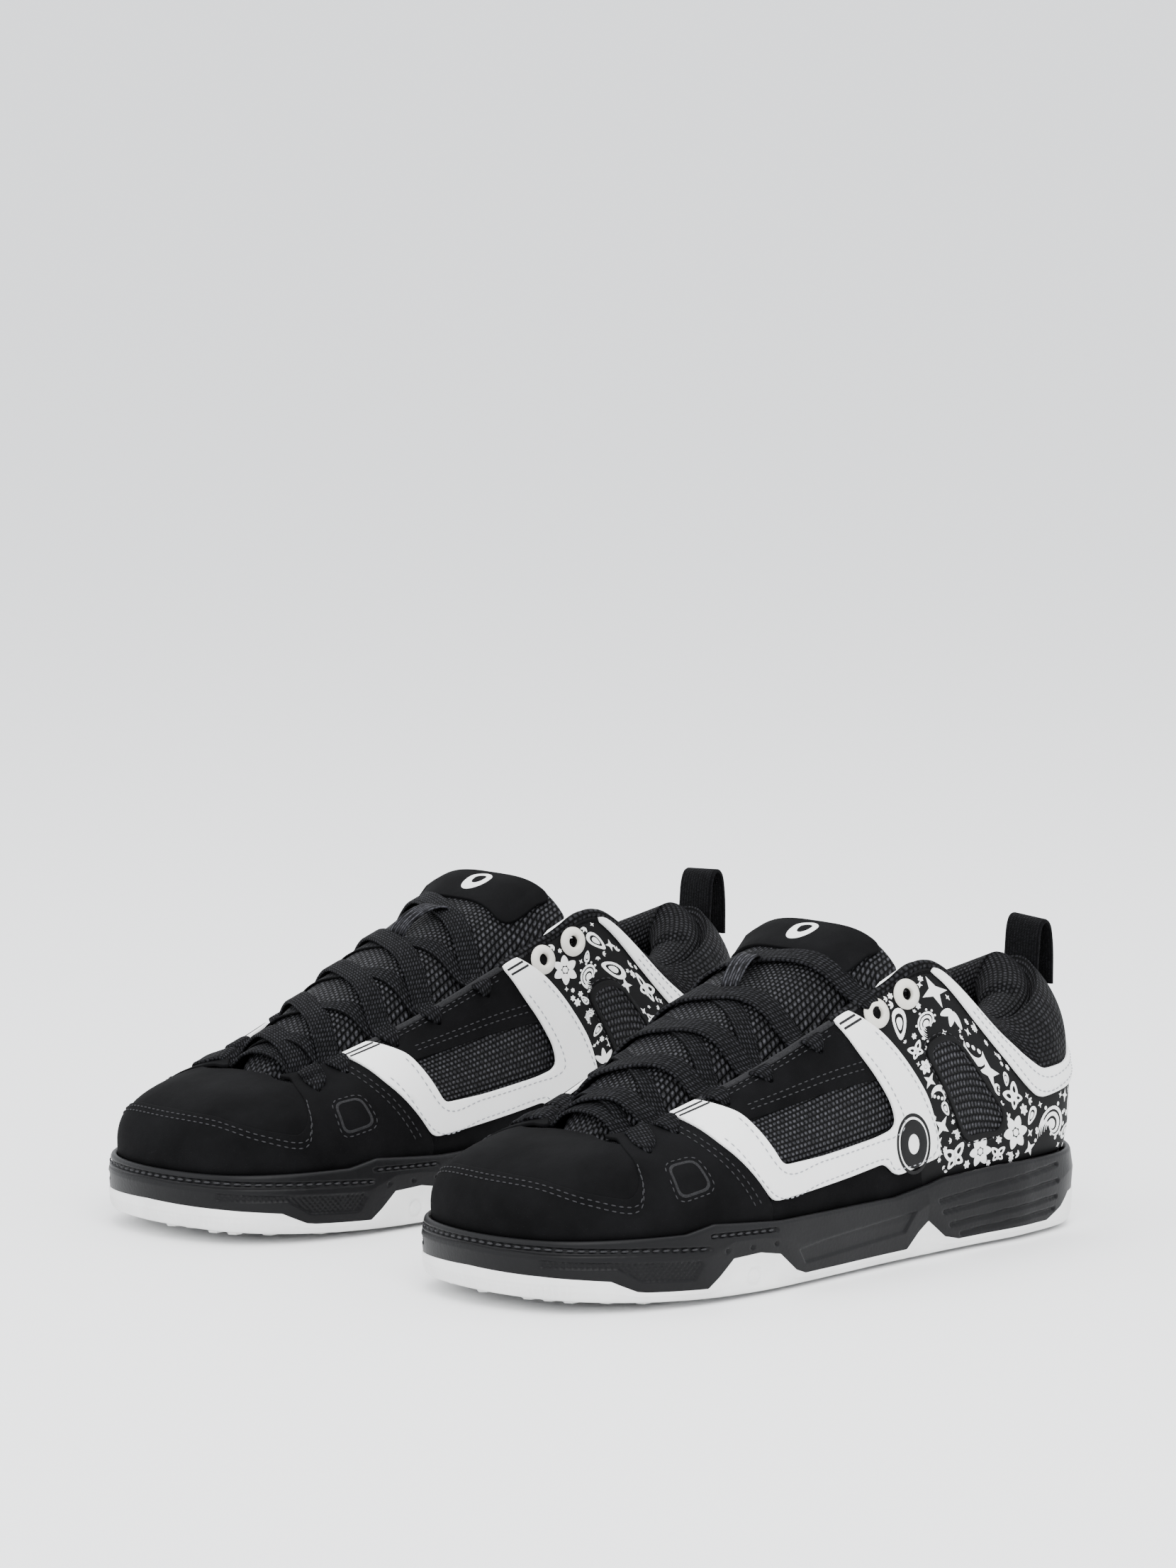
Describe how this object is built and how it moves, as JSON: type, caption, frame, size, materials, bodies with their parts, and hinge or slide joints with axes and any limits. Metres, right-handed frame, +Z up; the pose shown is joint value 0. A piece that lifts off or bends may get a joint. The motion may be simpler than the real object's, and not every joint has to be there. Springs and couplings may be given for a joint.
{
  "type": "pair of padded skate shoes",
  "caption": "Pair of low, thickly padded lace-up skate shoes with a stitched cup sole, white side bands and a printed heel quarter.",
  "frame": {"origin": "centre of the pair's bounding box at floor level, between the two shoes", "axes": "+X from the toes towards the heels, +Y from the left shoe towards the right shoe, +Z up"},
  "size_m": [0.3102, 0.3178, 0.1308],
  "materials": {
    "white_rubber": "satin",
    "black_rubber": "satin",
    "sole_foam": "matte",
    "board": "matte",
    "liner_cloth": "matte",
    "stiffener": "matte",
    "nubuck": "matte",
    "side_mesh": "matte",
    "white_leather": "satin",
    "printed_cloth": "matte",
    "collar_mesh": "matte",
    "grommet_plastic": "satin",
    "lace_weave": "matte",
    "webbing": "matte"
  },
  "bodies": {
    "left_shoe": {"left_outsole": "white_rubber", "left_cupsole": "black_rubber", "left_midsole_foam": "sole_foam", "left_insole_board": "board", "left_sockliner": "liner_cloth", "left_lining": "liner_cloth", "left_toe_puff": "stiffener", "left_heel_counter": "stiffener", "left_toe_cap": "nubuck", "left_mudguard": "nubuck", "left_lateral_eyestay": "nubuck", "left_medial_eyestay": "nubuck", "left_lateral_mesh": "side_mesh", "left_medial_mesh": "side_mesh", "left_lateral_band": "white_leather", "left_medial_band": "white_leather", "left_lateral_saddle": "nubuck", "left_medial_saddle": "nubuck", "left_heel_quarter": "printed_cloth", "left_lateral_vent": "side_mesh", "left_medial_vent": "side_mesh", "left_collar_trim": "white_leather", "left_collar_pad": "collar_mesh", "left_collar_binding": "collar_mesh", "left_tongue": "collar_mesh", "left_grommets": "grommet_plastic", "left_lace": "lace_weave"},
    "left_tongue_flap": {"left_tongue_top": "collar_mesh", "left_tongue_patch": "nubuck"},
    "left_heel_tab": {"left_pull_tab": "webbing"},
    "right_shoe": {"right_outsole": "white_rubber", "right_cupsole": "black_rubber", "right_midsole_foam": "sole_foam", "right_insole_board": "board", "right_sockliner": "liner_cloth", "right_lining": "liner_cloth", "right_toe_puff": "stiffener", "right_heel_counter": "stiffener", "right_toe_cap": "nubuck", "right_mudguard": "nubuck", "right_lateral_eyestay": "nubuck", "right_medial_eyestay": "nubuck", "right_lateral_mesh": "side_mesh", "right_medial_mesh": "side_mesh", "right_lateral_band": "white_leather", "right_medial_band": "white_leather", "right_lateral_saddle": "nubuck", "right_medial_saddle": "nubuck", "right_heel_quarter": "printed_cloth", "right_lateral_vent": "side_mesh", "right_medial_vent": "side_mesh", "right_collar_trim": "white_leather", "right_collar_pad": "collar_mesh", "right_collar_binding": "collar_mesh", "right_tongue": "collar_mesh", "right_grommets": "grommet_plastic", "right_lace": "lace_weave"},
    "right_tongue_flap": {"right_tongue_top": "collar_mesh", "right_tongue_patch": "nubuck"},
    "right_heel_tab": {"right_pull_tab": "webbing"}
  },
  "joints": [
    {"name": "right_shoe_slide", "type": "slide", "parent": "left_shoe", "child": "right_shoe", "axis": [0, 1, 0], "range_m": [0, 0.12]},
    {"name": "left_tongue_flex", "type": "hinge", "parent": "left_shoe", "child": "left_tongue_flap", "pos_m": [-0.0025, -0.096, 0.11], "axis": [0, 1, 0], "range_deg": [0, 7]},
    {"name": "left_tab_flex", "type": "hinge", "parent": "left_shoe", "child": "left_heel_tab", "pos_m": [0.1515, -0.096, 0.097], "axis": [0, 1, 0], "range_deg": [0, 35]},
    {"name": "right_tongue_flex", "type": "hinge", "parent": "right_shoe", "child": "right_tongue_flap", "pos_m": [-0.0025, 0.096, 0.11], "axis": [0, 1, 0], "range_deg": [0, 7]},
    {"name": "right_tab_flex", "type": "hinge", "parent": "right_shoe", "child": "right_heel_tab", "pos_m": [0.1515, 0.096, 0.097], "axis": [0, 1, 0], "range_deg": [0, 35]}
  ]
}
